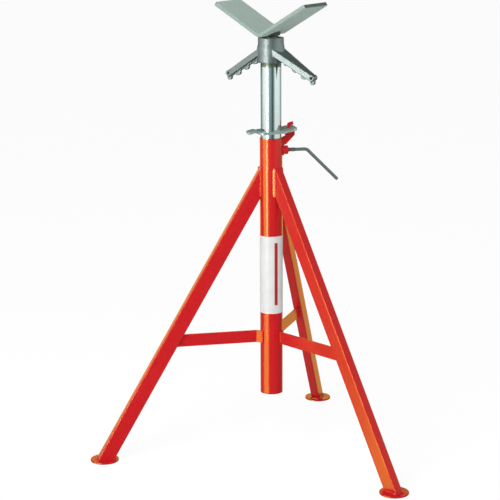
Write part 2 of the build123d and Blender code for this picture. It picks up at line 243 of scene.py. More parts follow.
def weld_bead(name, runs, size):
    """Weld puddles laid over one another along runs of points, melted into one rippled bead."""
    drops = bmesh.new()
    for run in runs:
        for spot in run:
            stray = noise.noise_vector(spot * stray_drift) * size * stray_share
            place = Matrix.Translation(spot + stray)
            bmesh.ops.create_icosphere(drops, subdivisions=2, radius=size, matrix=place)
    bead = bpy.data.objects.new(name, bpy.data.meshes.new(name))
    drops.to_mesh(bead.data)
    drops.free()
    bpy.context.scene.collection.objects.link(bead)
    pick(bead)
    bead.data.remesh_voxel_size = 0.55 * mm
    bpy.ops.object.voxel_remesh()
    finish_with(bead, "SMOOTH", iterations=2)
    bpy.ops.object.shade_smooth()
    return bead


def keep_off_bore(bead):
    """Moves what a bead has in the tube's bore out into the wall."""
    for vertex in bead.data.vertices:
        reach = math.hypot(vertex.co.x, vertex.co.y)
        if reach < wall_middle:
            vertex.co.x *= wall_middle / reach
            vertex.co.y *= wall_middle / reach


leg_line = (leg_apex - leg_foot).normalized()
leg_out = Vector((leg_line.z, 0, -leg_line.x))


def leg_side_run(side, grow, reach):
    """The run down a leg's side where it meets the outer tube, at a distance from the tubes' axis."""
    across = side * (leg_half_width + grow)
    run = math.sqrt(reach ** 2 - across ** 2)
    points = []
    for outward in fillet_ends:
        along = (run - leg_foot.x - outward * leg_out.x) / leg_line.x
        points.append(leg_foot + Vector((0, across, 0)) + leg_out * outward + leg_line * along)
    return points


# Each bead fills the corner between a leg's side and the tube to a nearly flat fillet, and keeps a trace
# of its ripples.
corner_turn = math.asin(leg_half_width / tube_radius)
for number, degrees, lean in zip((1, 2, 3), leg_azimuths, fillet_leans):
    turn = Matrix.Rotation(math.radians(degrees), 3, "Z")
    runs = []
    for side in (-1, 1):
        run = evenly(leg_side_run(side, fillet_gap, tube_radius + fillet_gap), puddle_step, False)
        runs.append([turn @ p for p in run])
    bead = weld_bead(f"leg_{number}_tube_weld", runs, puddle)
    for side in (-1, 1):
        corner = turn @ Vector((tube_radius * math.cos(corner_turn), side * leg_half_width, 0))
        off_tube = Vector((math.cos(corner_turn), side * math.sin(corner_turn), 0))
        off_leg = Vector((0, side, 0))
        way_out = turn @ (off_tube * lean + off_leg * (1 - lean)).normalized()
        side_way = turn @ Vector((0, side, 0))
        for vertex in bead.data.vertices:
            excess = (vertex.co - corner).dot(way_out) - fillet_throat
            if excess > 0 and vertex.co.dot(side_way) > 0:
                vertex.co -= way_out * excess * fillet_flattening
    keep_off_bore(bead)
    bead.data.materials.append(red_enamel)
    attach(bead, "stand")


# Feet: round steel blanks of 56 mm, punched from 3.5 mm plate, with the edge that a punch rounds. Each is
# welded all round under its leg and painted with the stand.
foot_top = 3.5 * mm
foot_bead = 2.4 * mm
foot_bead_step = 1.6 * mm
foot_bead_gap = 0.6 * mm
foot_bead_level = foot_top + 0.7 * mm
foot_bead_root = foot_top - 1.2 * mm


def leg_section(grow):
    """The leg's outline across its own line, as steps across and outward."""
    across, outward = leg_half_width + grow, leg_half_depth + grow
    corner = 2.4 * mm
    return [
        (-across, -outward + corner), (-across, outward - corner), (-across + corner, outward),
        (across - corner, outward), (across, outward - corner), (across, -outward + corner),
        (across - corner, -outward), (-across + corner, -outward),
    ]


def leg_foot_run(grow, level):
    """The run round a leg where it meets its foot disc, at a height."""
    points = []
    for across, outward in leg_section(grow):
        along = (level - outward * leg_out.z) / leg_line.z
        points.append(leg_foot + Vector((0, across, 0)) + leg_out * outward + leg_line * along)
    return points


for number, degrees in enumerate(leg_azimuths, 1):
    foot = merged_copy(f"foot_{number}", f"foot_{number}_painted")
    ease_edges(foot, 0.9 * mm)
    foot.data.materials.append(red_enamel)
    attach(foot, "stand")
    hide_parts(f"foot_{number}")
    turn = Matrix.Rotation(math.radians(degrees), 3, "Z")
    run = evenly(leg_foot_run(foot_bead_gap, foot_bead_level), foot_bead_step, True)
    bead = weld_bead(f"foot_{number}_weld", [[turn @ p for p in run]], foot_bead)
    # What the bead has under the disc's top stays inside the disc.
    for vertex in bead.data.vertices:
        vertex.co.z = max(vertex.co.z, foot_bead_root)
    bead.data.materials.append(red_enamel)
    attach(bead, "stand")


# Braces: straps of 24.5 x 3 mm flat bar on edge, sheared to length, bent aside at the tube and welded to
# it and to the inner face of each leg.
brace_low = 224.25 * mm
brace_high = 248.75 * mm
brace_half = 1.5 * mm
brace_bend = 30.525 * mm
brace_end_way = Vector((math.cos(math.radians(140)), math.sin(math.radians(140)), 0))
brace_end_side = Vector((-brace_end_way.y, brace_end_way.x, 0))
brace_bead = 2.2 * mm
brace_bead_ends = (brace_low + 2 * mm, brace_high - 2 * mm)
bead_off_tube = 1.1 * mm
bead_off_strap = 0.7 * mm
bead_off_flat = 0.9 * mm
bead_step = 1.5 * mm


def brace_tube_point(side, reach):
    """Where a face of the strap's bent end meets a circle round the tubes' axis."""
    start = Vector((brace_bend, 0, 0)) + brace_end_side * side
    half = start.dot(brace_end_way)
    return start + brace_end_way * (-half - math.sqrt(half ** 2 - start.dot(start) + reach ** 2))


def leg_inner_point(level, gap):
    """The point of a leg's inner face at a height, a gap before the face."""
    outward = -leg_half_depth - gap
    along = (level - outward * leg_out.z) / leg_line.z
    return leg_foot + leg_out * outward + leg_line * along


for number, degrees in enumerate(leg_azimuths, 1):
    brace = merged_copy(f"brace_{number}", f"brace_{number}_painted")
    ease_edges(brace, 0.45 * mm)
    brace.data.materials.append(red_enamel)
    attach(brace, "stand")
    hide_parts(f"brace_{number}")
    turn = Matrix.Rotation(math.radians(degrees), 3, "Z")
    runs = []
    for side in (-1, 1):
        at_tube = brace_tube_point(side * (brace_half + bead_off_strap), tube_radius + bead_off_tube)
        run = [at_tube + Vector((0, 0, level)) for level in brace_bead_ends]
        runs.append([turn @ p for p in evenly(run, bead_step, False)])
    bead = weld_bead(f"brace_{number}_tube_weld", runs, brace_bead)
    keep_off_bore(bead)
    bead.data.materials.append(red_enamel)
    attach(bead, "stand")
    runs = []
    for side in (-1, 1):
        aside = Vector((0, side * (brace_half + bead_off_flat), 0))
        run = [leg_inner_point(level, bead_off_flat) + aside for level in brace_bead_ends]
        runs.append([turn @ p for p in evenly(run, bead_step, False)])
    bead = weld_bead(f"brace_{number}_leg_weld", runs, brace_bead)
    bead.data.materials.append(red_enamel)
    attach(bead, "stand")


# Label: a plain sleeve of white vinyl film, stuck round the tube with its seam at the back. One red bar
# runs up its left side, and the rest of its face is bare.
bar_low, bar_high = 303.1 * mm, 428.8 * mm
bar_left, bar_right = math.radians(-86), math.radians(-69)

# Vinyl film with a satin face: nearly white, a little greyed by handling, with soft ripples where it was
# smoothed down over the tube.
label_vinyl, tree, shader, point = new_material("white_vinyl_film")
parts = add(tree, "ShaderNodeSeparateXYZ", {0: point}).outputs
angle = add(tree, "ShaderNodeMath", {0: parts[1], 1: parts[0]}, operation="ARCTAN2").outputs[0]
right_of = add(tree, "ShaderNodeMath", {0: angle, 1: bar_left}, operation="GREATER_THAN").outputs[0]
left_of = add(tree, "ShaderNodeMath", {0: angle, 1: bar_right}, operation="LESS_THAN").outputs[0]
over = add(tree, "ShaderNodeMath", {0: parts[2], 1: bar_low}, operation="GREATER_THAN").outputs[0]
under = add(tree, "ShaderNodeMath", {0: parts[2], 1: bar_high}, operation="LESS_THAN").outputs[0]
wide = add(tree, "ShaderNodeMath", {0: right_of, 1: left_of}, operation="MULTIPLY").outputs[0]
tall = add(tree, "ShaderNodeMath", {0: over, 1: under}, operation="MULTIPLY").outputs[0]
bar = add(tree, "ShaderNodeMath", {0: wide, 1: tall}, operation="MULTIPLY").outputs[0]
# Handling marks drift over about 25 mm.
soil = add(tree, "ShaderNodeTexNoise", {"Vector": point, "Scale": 1 / (25 * mm), "Detail": 5}).outputs[0]
film = add(
    tree, "ShaderNodeMix", {0: soil, 6: linear("#D9DDDB"), 7: linear("#ECEFED")}, data_type="RGBA"
).outputs[2]
colour = add(tree, "ShaderNodeMix", {0: bar, 6: film, 7: linear("#B01C20")}, data_type="RGBA").outputs[2]
ripple = add(
    tree, "ShaderNodeTexNoise", {"Vector": point, "Scale": 1 / (14 * mm), "Detail": 1}
).outputs[0]
bump = add(tree, "ShaderNodeBump", {"Height": ripple, "Distance": 0.12 * mm, "Strength": 1.0}).outputs[0]
feed(shader, {"Base Color": colour, "Normal": bump, "Roughness": 0.38, "IOR": 1.52})

label = merged_copy("label", "label_sleeve")
ease_edges(label, 0)
label.data.materials.append(label_vinyl)
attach(label, "stand")
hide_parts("label")


# Hook bracket: 5 mm steel plate cut to the shoulder that carries the jam plate and the hook that keeps it
# on, welded on edge down the rim of the tube and painted with the stand.
bracket_half = 2.5 * mm
bracket_depth = 16.3 * mm
bracket_bead = 2.3 * mm
bracket_bead_ends = (rim_level - bracket_depth + 0.5 * mm, rim_level - 2.6 * mm)

bracket = merged_copy("hook_bracket", "hook_bracket_painted")
ease_edges(bracket, 0.5 * mm)
bracket.data.materials.append(red_enamel)
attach(bracket, "stand")
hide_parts("hook_bracket")

runs = []
for side in (-1, 1):
    across = side * (bracket_half + bead_off_flat)
    out = math.sqrt((tube_radius + bead_off_tube) ** 2 - across ** 2)
    runs.append(evenly([Vector((out, across, z)) for z in bracket_bead_ends], bead_step, False))
bead = weld_bead("hook_bracket_weld", runs, bracket_bead)
keep_off_bore(bead)
bead.data.materials.append(red_enamel)
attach(bead, "stand")


# Weld nut: a turned round steel nut of 17 mm, tapped for the lock screw. It is welded all round over the
# hole in the outer tube, and painted with the stand.
lock_level = 609 * mm
nut_radius = 8.5 * mm
nut_ring = nut_radius + 0.7 * mm
nut_bead = 2.1 * mm

weld_nut = merged_copy("lock_nut", "lock_nut_painted")
ease_edges(weld_nut, 0)
weld_nut.data.materials.append(red_enamel)
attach(weld_nut, "stand")
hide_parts("lock_nut")

ring_run = []
for step in range(36):
    turn = math.radians(step * 10)
    across = nut_ring * math.cos(turn)
    out = math.sqrt((tube_radius + bead_off_tube) ** 2 - across ** 2)
    ring_run.append(Vector((out, across, lock_level + nut_ring * math.sin(turn))))
bead = weld_bead("lock_nut_weld", [evenly(ring_run, bead_step, True)], nut_bead)
keep_off_bore(bead)
bead.data.materials.append(red_enamel)
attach(bead, "stand")


# Lock screw: round steel rod of 6.4 mm with a rolled thread of about 8 mm on its end, bent down at 45
# degrees to make its own handle, plain zinc plated. It turns in the weld nut and presses on the inner
# tube.
screw_tip = 20.25 * mm
screw_thread_end = 47.2 * mm
screw_radius = 3.95 * mm
screw_pitch = 1.4 * mm
screw_depth = 0.75 * mm
rod_radius = 3.2 * mm
rod_start = screw_thread_end - 2 * mm
rod_bend = 12 * mm
rod_drop = math.radians(45)
bend_cut = rod_bend * math.tan(rod_drop / 2)
rod_corner = 71 * mm
rod_tail = 88 * mm
rod_chamfer = 1.2 * mm


def thread(name, crest, depth, pitch, crest_share, low, high, steps):
    """A screw thread round the tubes' axis between two heights, wound from its profile, its ends flat."""
    slope_share = (1 - 2 * crest_share) / 2
    root = crest - depth
    start = low - pitch
    profile = [
        (root, 0, start),
        (root, 0, start + pitch * crest_share),
        (crest, 0, start + pitch * (crest_share + slope_share)),
        (crest, 0, start + pitch * (2 * crest_share + slope_share)),
        (root, 0, start + pitch),
    ]
    piece = bpy.data.objects.new(name, bpy.data.meshes.new(name))
    piece.data.from_pydata(profile, [(0, 1), (1, 2), (2, 3), (3, 4)], [])
    bpy.context.scene.collection.objects.link(piece)
    pick(piece)
    turns = math.ceil((high - low) / pitch) + 2
    finish_with(
        piece, "SCREW", axis="Z", angle=2 * math.pi, screw_offset=pitch, iterations=turns,
        steps=steps, render_steps=steps,
    )
    bpy.ops.object.mode_set(mode="EDIT")
    bpy.ops.mesh.select_all(action="SELECT")
    bpy.ops.mesh.remove_doubles(threshold=0.01 * mm)
    bpy.ops.mesh.select_all(action="SELECT")
    bpy.ops.mesh.bisect(plane_co=(0, 0, low), plane_no=(0, 0, 1), use_fill=True, clear_inner=True)
    bpy.ops.mesh.select_all(action="SELECT")
    bpy.ops.mesh.bisect(plane_co=(0, 0, high), plane_no=(0, 0, 1), use_fill=True, clear_outer=True)
    bpy.ops.mesh.select_all(action="SELECT")
    bpy.ops.mesh.normals_make_consistent(inside=False)
    bpy.ops.object.mode_set(mode="OBJECT")
    bpy.ops.object.shade_smooth_by_angle(angle=math.radians(25))
    return piece


# Plain carbon steel rod, drawn and thinly zinc plated: dull grey-green and a little cloudy.
rod_steel, tree, shader, point = new_material("plated_drawn_rod")
# The plating's clouds and their finer grain are about 3 mm across.
grain = add(tree, "ShaderNodeTexNoise", {"Vector": point, "Scale": 1 / (3 * mm), "Detail": 6}).outputs[0]
colour = add(
    tree, "ShaderNodeMix", {0: grain, 6: linear("#667770"), 7: linear("#879891")}, data_type="RGBA"
).outputs[2]
roughness = add(tree, "ShaderNodeMapRange", {0: grain, 3: 0.34, 4: 0.5}).outputs[0]
bump = add(tree, "ShaderNodeBump", {"Height": grain, "Distance": 0.05 * mm, "Strength": 1.0}).outputs[0]
feed(shader, {"Base Color": colour, "Roughness": roughness, "Normal": bump, "Metallic": 0.5})

lock_screw = thread(
    "lock_screw_rod", screw_radius, screw_depth, screw_pitch, crest_share=0.12, low=0,
    high=screw_thread_end - screw_tip, steps=24,
)
bpy.ops.transform.rotate(value=math.radians(-90), orient_axis="Y", center_override=(0, 0, 0))
bpy.ops.transform.translate(value=(screw_tip, 0, lock_level))
bpy.ops.object.transform_apply(location=True, rotation=True, scale=True)
bpy.ops.object.select_all(action="DESELECT")
bpy.ops.mesh.primitive_circle_add(
    vertices=32,
    radius=rod_radius,
    fill_type="NGON",
    location=(rod_start, 0, lock_level),
    rotation=(0, math.radians(90), 0),
)
bpy.ops.object.transform_apply(location=True, rotation=True, scale=True)
bend_start = rod_corner - bend_cut
bpy.ops.object.mode_set(mode="EDIT")
bpy.ops.mesh.select_all(action="SELECT")
bpy.ops.mesh.extrude_region_move(TRANSFORM_OT_translate={"value": (bend_start - rod_start, 0, 0)})
bend_middle = (bend_start, 0, lock_level - rod_bend)
bpy.ops.mesh.spin(steps=10, angle=-rod_drop, center=bend_middle, axis=(0, 1, 0))
tail = rod_tail - bend_cut - rod_chamfer
way = Vector((math.cos(rod_drop), 0, -math.sin(rod_drop)))
bpy.ops.mesh.extrude_region_move(TRANSFORM_OT_translate={"value": way * tail})
bpy.ops.mesh.extrude_region_move(TRANSFORM_OT_translate={"value": way * rod_chamfer})
bpy.ops.transform.resize(value=(0.72, 0.72, 0.72))
bpy.ops.mesh.select_all(action="SELECT")
bpy.ops.mesh.normals_make_consistent(inside=False)
bpy.ops.object.mode_set(mode="OBJECT")
bpy.ops.object.shade_smooth_by_angle(angle=math.radians(35))
lock_screw.select_set(True)
bpy.context.view_layer.objects.active = lock_screw
bpy.ops.object.join()
lock_screw.data.materials.clear()
lock_screw.data.materials.append(rod_steel)
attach(lock_screw, "lock_screw")
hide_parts("lock_screw")


# Inner tube: drawn steel tube of 40 mm with a 2.6 mm wall, bright zinc plated so that it slides in the
# outer tube, with both ends cut square and broken at the edge.
inner_radius = 20 * mm
inner_wall = 2.6 * mm
inner_low = 152 * mm
inner_high = 772 * mm
bite_heights = (651.5 * mm, 660 * mm, 689 * mm, 716 * mm, 540 * mm, 420 * mm)
bite_half_height = 0.45 * mm
bite_strength = 0.6

# Bright zinc plating on drawn tube: nearly mirror bright with a cold green tinge, fine scuffs up and down
# from sliding, and short bite marks where the jam plate has gripped it on the hook's side and opposite.
zinc_tube, tree, shader, point = new_material("bright_zinc_plating")
parts = add(tree, "ShaderNodeSeparateXYZ", {0: point}).outputs
# Sliding scuffs are 0.2 to 1 mm wide and up to 100 mm long.
along = add(
    tree, "ShaderNodeMapping", {"Vector": point, "Scale": (1 / (1.2 * mm), 1 / (1.2 * mm), 1 / (90 * mm))}
).outputs[0]
scuffs = add(tree, "ShaderNodeTexNoise", {"Vector": along, "Scale": 1.0, "Detail": 4}).outputs[0]
# The chromate film's tint drifts over about 40 mm.
film = add(tree, "ShaderNodeTexNoise", {"Vector": point, "Scale": 1 / (40 * mm), "Detail": 3}).outputs[0]
bright = add(
    tree, "ShaderNodeMix", {0: film, 6: linear("#CDD8D6"), 7: linear("#E2E8E6")}, data_type="RGBA"
).outputs[2]
side = add(tree, "ShaderNodeMath", {0: parts[0]}, operation="ABSOLUTE").outputs[0]
gripped = add(
    tree, "ShaderNodeMapRange", {0: side, 1: 15.5 * mm, 2: 18.5 * mm, 3: 0.0, 4: 1.0}
).outputs[0]
bites = 0.0
for height in bite_heights:
    mark = add(
        tree, "ShaderNodeMath", {0: parts[2], 1: height, 2: bite_half_height}, operation="COMPARE"
    ).outputs[0]
    bites = add(tree, "ShaderNodeMath", {0: bites, 1: mark}, operation="MAXIMUM").outputs[0]
bites = add(tree, "ShaderNodeMath", {0: bites, 1: gripped}, operation="MULTIPLY").outputs[0]
bites = add(tree, "ShaderNodeMath", {0: bites, 1: bite_strength}, operation="MULTIPLY").outputs[0]
colour = add(
    tree, "ShaderNodeMix", {0: bites, 6: bright, 7: linear("#7F8A86")}, data_type="RGBA"
).outputs[2]
roughness = add(tree, "ShaderNodeMapRange", {0: scuffs, 3: 0.09, 4: 0.2}).outputs[0]
bump = add(tree, "ShaderNodeBump", {"Height": scuffs, "Distance": 0.01 * mm, "Strength": 1.0}).outputs[0]
feed(shader, {"Base Color": colour, "Roughness": roughness, "Normal": bump, "Metallic": 1.0})

bpy.ops.object.select_all(action="DESELECT")
bpy.ops.mesh.primitive_cylinder_add(
    vertices=128,
    radius=inner_radius,
    depth=inner_high - inner_low,
    end_fill_type="NOTHING",
    location=(0, 0, (inner_low + inner_high) / 2),
)
inner_tube = bpy.context.object
inner_tube.name = "inner_tube_plated"
bpy.ops.object.transform_apply(location=True, rotation=True, scale=True)
finish_with(inner_tube, "SOLIDIFY", thickness=inner_wall, offset=-1)
ease_edges(inner_tube, 0.3 * mm)
inner_tube.data.materials.append(zinc_tube)
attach(inner_tube, "post")
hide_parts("inner_tube")


# Guide bushing: turned steel, pressed into the inner tube's top down to its flange, which carries the
# thrust washer. Only the flange shows.

# Turned steel with a thin yellow-green passivated plating, oiled and darkened by handling.
washer_steel, tree, shader, point = new_material("passivated_turned_steel")
grime = add(tree, "ShaderNodeTexNoise", {"Vector": point, "Scale": 1 / (6 * mm), "Detail": 5}).outputs[0]
colour = add(
    tree, "ShaderNodeMix", {0: grime, 6: linear("#6D7668"), 7: linear("#A3AC9A")}, data_type="RGBA"
).outputs[2]
roughness = add(tree, "ShaderNodeMapRange", {0: grime, 3: 0.3, 4: 0.48}).outputs[0]
bump = add(tree, "ShaderNodeBump", {"Height": grime, "Distance": 0.04 * mm, "Strength": 1.0}).outputs[0]
feed(shader, {"Base Color": colour, "Roughness": roughness, "Normal": bump, "Metallic": 0.9})

bushing = merged_copy("tube_bushing", "tube_bushing_turned")
ease_edges(bushing, 0.25 * mm)
bushing.data.materials.append(washer_steel)
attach(bushing, "post")
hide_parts("tube_bushing")


# Thrust washer: a hardened steel washer, ground flat. It lies loose between the bushing's flange and the
# wing nut, which turns on it.
thrust_washer = merged_copy("thrust_washer", "thrust_washer_hardened")
ease_edges(thrust_washer, 0.3 * mm)
thrust_washer.data.materials.append(washer_steel)
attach(thrust_washer, "swivel")
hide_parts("thrust_washer")


# Jam plate: 4.8 mm spring steel plate, pierced for the inner tube and the hook, its outer end bent up
# onto the bracket's shoulder and its finger tab curled. It is zinc plated, and tips to bite on the inner
# tube.
hole_radius = 20.5 * mm

# Barrel zinc plating over a pressed blank: grey-green and satin, with a bright worn band round the hole.
jam_zinc, tree, shader, point = new_material("barrel_zinc_plating")
parts, radius = from_axis(tree, point)
worn = add(
    tree, "ShaderNodeMapRange", {0: radius, 1: hole_radius, 2: hole_radius + 1.6 * mm, 3: 1.0, 4: 0.0}
).outputs[0]
cloud = add(tree, "ShaderNodeTexNoise", {"Vector": point, "Scale": 1 / (9 * mm), "Detail": 5}).outputs[0]
plate = add(
    tree, "ShaderNodeMix", {0: cloud, 6: linear("#A6C1BA"), 7: linear("#C9DDD7")}, data_type="RGBA"
).outputs[2]
colour = add(
    tree, "ShaderNodeMix", {0: worn, 6: plate, 7: linear("#D5DCDA")}, data_type="RGBA"
).outputs[2]
roughness = add(tree, "ShaderNodeMapRange", {0: cloud, 3: 0.26, 4: 0.42}).outputs[0]
bump = add(tree, "ShaderNodeBump", {"Height": cloud, "Distance": 0.04 * mm, "Strength": 1.0}).outputs[0]
feed(shader, {"Base Color": colour, "Roughness": roughness, "Normal": bump, "Metallic": 0.62})

jam_plate = merged_copy("jam_plate", "jam_plate_plated")
ease_edges(jam_plate, 0.6 * mm)
jam_plate.data.materials.append(jam_zinc)
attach(jam_plate, "jam_plate")
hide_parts("jam_plate")


# Wing nut: a sand casting in ductile iron, its hub bored and tapped for the jack screw. Two ribbed
# channel wings slope down from it, pierced at the tips, with a finger lug under each.
casting_voxel = 1.05 * mm
hub_low, hub_high = 779.6 * mm, 827.6 * mm
hub_radius = 26.6 * mm
hub_outside = hub_radius + 0.6 * mm
hub_step = 812.4 * mm
step_inside = 22 * mm
step_band = 7 * mm
faced_band = 1.6 * mm

# Sand cast iron, shot blasted and zinc plated: grainy and satin, light where it faces the lamps and
# nearly black where it doesn't.
casting, tree, shader, point = new_material("zinc_plated_sand_casting")
# Moulding sand leaves grains of about 0.3 mm; they are drawn at 1.5 mm so that they show.
sand = add(tree, "ShaderNodeTexNoise", {"Vector": point, "Scale": 1 / (1.5 * mm), "Detail": 3}).outputs[0]
cloud = add(tree, "ShaderNodeTexNoise", {"Vector": point, "Scale": 1 / (14 * mm), "Detail": 4}).outputs[0]
colour = add(
    tree, "ShaderNodeMix", {0: cloud, 6: linear("#848F8D"), 7: linear("#A0ABA9")}, data_type="RGBA"
).outputs[2]
roughness = add(tree, "ShaderNodeMapRange", {0: sand, 3: 0.36, 4: 0.5}).outputs[0]
bump = add(tree, "ShaderNodeBump", {"Height": sand, "Distance": 0.05 * mm, "Strength": 1.0}).outputs[0]
feed(shader, {"Base Color": colour, "Roughness": roughness, "Normal": bump, "Metallic": 0.85})

wing_nut = merged_copy("wing_nut", "wing_nut_cast")
wing_nut.data.remesh_voxel_size = casting_voxel
bpy.ops.object.voxel_remesh()
# The hub's ends are faced off, so they stay sharp. The rest is as cast, and its step is a soft one.
as_cast, step_ring = [], []
for vertex in wing_nut.data.vertices:
    x, y, z = vertex.co
    reach = math.hypot(x, y)
    at_foot = abs(z - hub_low) < faced_band and reach < hub_outside
    if z < hub_high - faced_band and not at_foot:
        as_cast.append(vertex.index)
    if step_inside < reach < hub_outside and abs(z - hub_step) < step_band:
        step_ring.append(vertex.index)
wing_nut.vertex_groups.new(name="as_cast").add(as_cast, 1.0, "REPLACE")
wing_nut.vertex_groups.new(name="step_ring").add(step_ring, 1.0, "REPLACE")
for group, factor, passes in (("as_cast", 0.6, 5), ("step_ring", 0.9, 30)):
    finish_with(wing_nut, "SMOOTH", vertex_group=group, factor=factor, iterations=passes)
# The sand leaves lumps of about 9 mm, and finer ones of 2.6 mm on them.
ways_out = [Vector(vertex.normal) for vertex in wing_nut.data.vertices]
for index in as_cast:
    vertex = wing_nut.data.vertices[index]
    swell = noise.noise(vertex.co / (9 * mm)) * 0.16 * mm
    swell += noise.noise(vertex.co / (2.6 * mm)) * 0.09 * mm
    vertex.co += ways_out[index] * swell
finish_with(wing_nut, "DECIMATE", ratio=0.6)
bpy.ops.object.shade_smooth()
wing_nut.data.materials.append(casting)
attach(wing_nut, "nut")
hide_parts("wing_nut")


# Jack screw: steel bar of 28.6 mm with a trapezoidal thread of 5.08 mm pitch, turned down at its top to
# the spigot that goes through boss and saddle and is riveted there. The stop washer is bolted to its
# lower end.
jack_radius = 14.3 * mm
jack_pitch = 5.08 * mm
jack_depth = 2.4 * mm
jack_low = 657.85 * mm
jack_high = 828.4 * mm
spigot_radius = 8 * mm
spigot_top = 837.6 * mm

# Turned thread with a film of dark oil: bright flanks, and darker towards the roots, nearly black there.
screw_steel, tree, shader, point = new_material("oiled_turned_thread")
parts, radius = from_axis(tree, point)
crest = add(
    tree, "ShaderNodeMapRange",
    {0: radius, 1: jack_radius - jack_depth, 2: jack_radius - 0.4 * mm, 3: 0.0, 4: 1.0},
).outputs[0]
oil = add(tree, "ShaderNodeTexNoise", {"Vector": point, "Scale": 1 / (8 * mm), "Detail": 4}).outputs[0]
flank_colour = add(
    tree, "ShaderNodeMix", {0: oil, 6: linear("#7C827F"), 7: linear("#A5ABA8")}, data_type="RGBA"
).outputs[2]
colour = add(
    tree, "ShaderNodeMix", {0: crest, 6: linear("#2E302D"), 7: flank_colour}, data_type="RGBA"
).outputs[2]
roughness = add(tree, "ShaderNodeMapRange", {0: oil, 3: 0.2, 4: 0.4}).outputs[0]
bump = add(tree, "ShaderNodeBump", {"Height": oil, "Distance": 0.03 * mm, "Strength": 1.0}).outputs[0]
feed(shader, {"Base Color": colour, "Roughness": roughness, "Normal": bump, "Metallic": 1.0})

jack_screw = thread(
    "jack_screw_turned", jack_radius, jack_depth, jack_pitch, crest_share=0.37, low=jack_low,
    high=jack_high, steps=40,
)
bpy.ops.object.select_all(action="DESELECT")
# The spigot starts 2 mm inside the thread.
bpy.ops.mesh.primitive_cylinder_add(
    vertices=64,
    radius=spigot_radius,
    depth=spigot_top - jack_high + 2 * mm,
    location=(0, 0, (spigot_top + jack_high - 2 * mm) / 2),
)
spigot = bpy.context.object
bpy.ops.object.transform_apply(location=True, rotation=True, scale=True)
ease_edges(spigot, 0.5 * mm)
jack_screw.select_set(True)
bpy.context.view_layer.objects.active = jack_screw
bpy.ops.object.join()
jack_screw.data.materials.clear()
jack_screw.data.materials.append(screw_steel)
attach(jack_screw, "head")
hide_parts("jack_screw")


# Stop washer and bolt: a bright plated washer and a hexagon bolt under the jack screw, which keep the
# screw from leaving the nut. They are inside the inner tube.
fastener_zinc, tree, shader, point = new_material("bright_plated_fastener")
film = add(tree, "ShaderNodeTexNoise", {"Vector": point, "Scale": 1 / (4 * mm), "Detail": 3}).outputs[0]
colour = add(
    tree, "ShaderNodeMix", {0: film, 6: linear("#A9B0AD"), 7: linear("#CDD3D0")}, data_type="RGBA"
).outputs[2]
roughness = add(tree, "ShaderNodeMapRange", {0: film, 3: 0.22, 4: 0.36}).outputs[0]
feed(shader, {"Base Color": colour, "Roughness": roughness, "Metallic": 1.0})

for name in ("screw_stop", "stop_bolt"):
    fastener = merged_copy(name, f"{name}_plated")
    ease_edges(fastener, 0.3 * mm)
    fastener.data.materials.append(fastener_zinc)
    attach(fastener, "head")
    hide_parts(name)


# V saddle: one 7 mm steel plate, sheared, its corners rounded, bent to a V of 118 degrees inside and zinc
# plated. It is pierced at the bend for the screw's spigot.
saddle_turn = math.radians(-42.5)
saddle_rise = math.radians(31)
saddle_bend = 13 * mm
saddle_underside = 831 * mm
saddle_apex = saddle_underside - saddle_bend * (1 / math.cos(saddle_rise) - 1)
saddle_arm = 116 * mm
saddle_half_width = 46 * mm
shear_mark = 0.5 * mm

# Dull zinc plating on hot rolled plate: soft cloudy grey-green, satin. The sheared edges are rough and
# take it duller, and their darker colour also holds painted shade. The arms' ends, torn by the shears, are
# painted darker still, as painted shade where they face away from the lamps.
zinc_plate, tree, shader, point = new_material("dull_zinc_plating")
along_saddle = add(
    tree, "ShaderNodeMapping", {"Vector": point, "Rotation": (0, 0, -saddle_turn)}
).outputs[0]
parts = add(tree, "ShaderNodeSeparateXYZ", {0: along_saddle}).outputs
outward = add(tree, "ShaderNodeMath", {0: parts[0]}, operation="ABSOLUTE").outputs[0]
sideways = add(tree, "ShaderNodeMath", {0: parts[1]}, operation="ABSOLUTE").outputs[0]
level_run = add(
    tree, "ShaderNodeMath", {0: outward, 1: math.cos(saddle_rise)}, operation="MULTIPLY"
).outputs[0]
climb = add(
    tree,
    "ShaderNodeMath",
    {0: parts[2], 1: math.sin(saddle_rise), 2: -saddle_apex * math.sin(saddle_rise)},
    operation="MULTIPLY_ADD",
).outputs[0]
along_arm = add(tree, "ShaderNodeMath", {0: level_run, 1: climb}, operation="ADD").outputs[0]
edge_with_painted_shade = add(
    tree, "ShaderNodeMath", {0: sideways, 1: saddle_half_width - shear_mark}, operation="GREATER_THAN"
).outputs[0]
painted_shade_end = add(
    tree, "ShaderNodeMath", {0: along_arm, 1: saddle_arm - shear_mark}, operation="GREATER_THAN"
).outputs[0]
cloud = add(tree, "ShaderNodeTexNoise", {"Vector": point, "Scale": 1 / (22 * mm), "Detail": 5}).outputs[0]
fine = add(tree, "ShaderNodeTexNoise", {"Vector": point, "Scale": 1 / (1.6 * mm), "Detail": 2}).outputs[0]
colour = add(
    tree, "ShaderNodeMix", {0: cloud, 6: linear("#B6CDC3"), 7: linear("#CADDD5")}, data_type="RGBA"
).outputs[2]
# Painted shade: the edges a little darker, the arms' ends darker still.
colour = add(
    tree, "ShaderNodeMix", {0: edge_with_painted_shade, 6: colour, 7: linear("#93A69D")}, data_type="RGBA"
).outputs[2]
colour = add(
    tree, "ShaderNodeMix", {0: painted_shade_end, 6: colour, 7: linear("#66756D")}, data_type="RGBA"
).outputs[2]
roughness = add(tree, "ShaderNodeMapRange", {0: cloud, 3: 0.54, 4: 0.66}).outputs[0]
bump = add(tree, "ShaderNodeBump", {"Height": fine, "Distance": 0.007 * mm, "Strength": 1.0}).outputs[0]
feed(shader, {"Base Color": colour, "Roughness": roughness, "Normal": bump, "Metallic": 0.15})

v_saddle = merged_copy("v_saddle", "v_saddle_plated")
ease_edges(v_saddle, 0.8 * mm)
v_saddle.data.materials.append(zinc_plate)
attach(v_saddle, "head")
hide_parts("v_saddle")


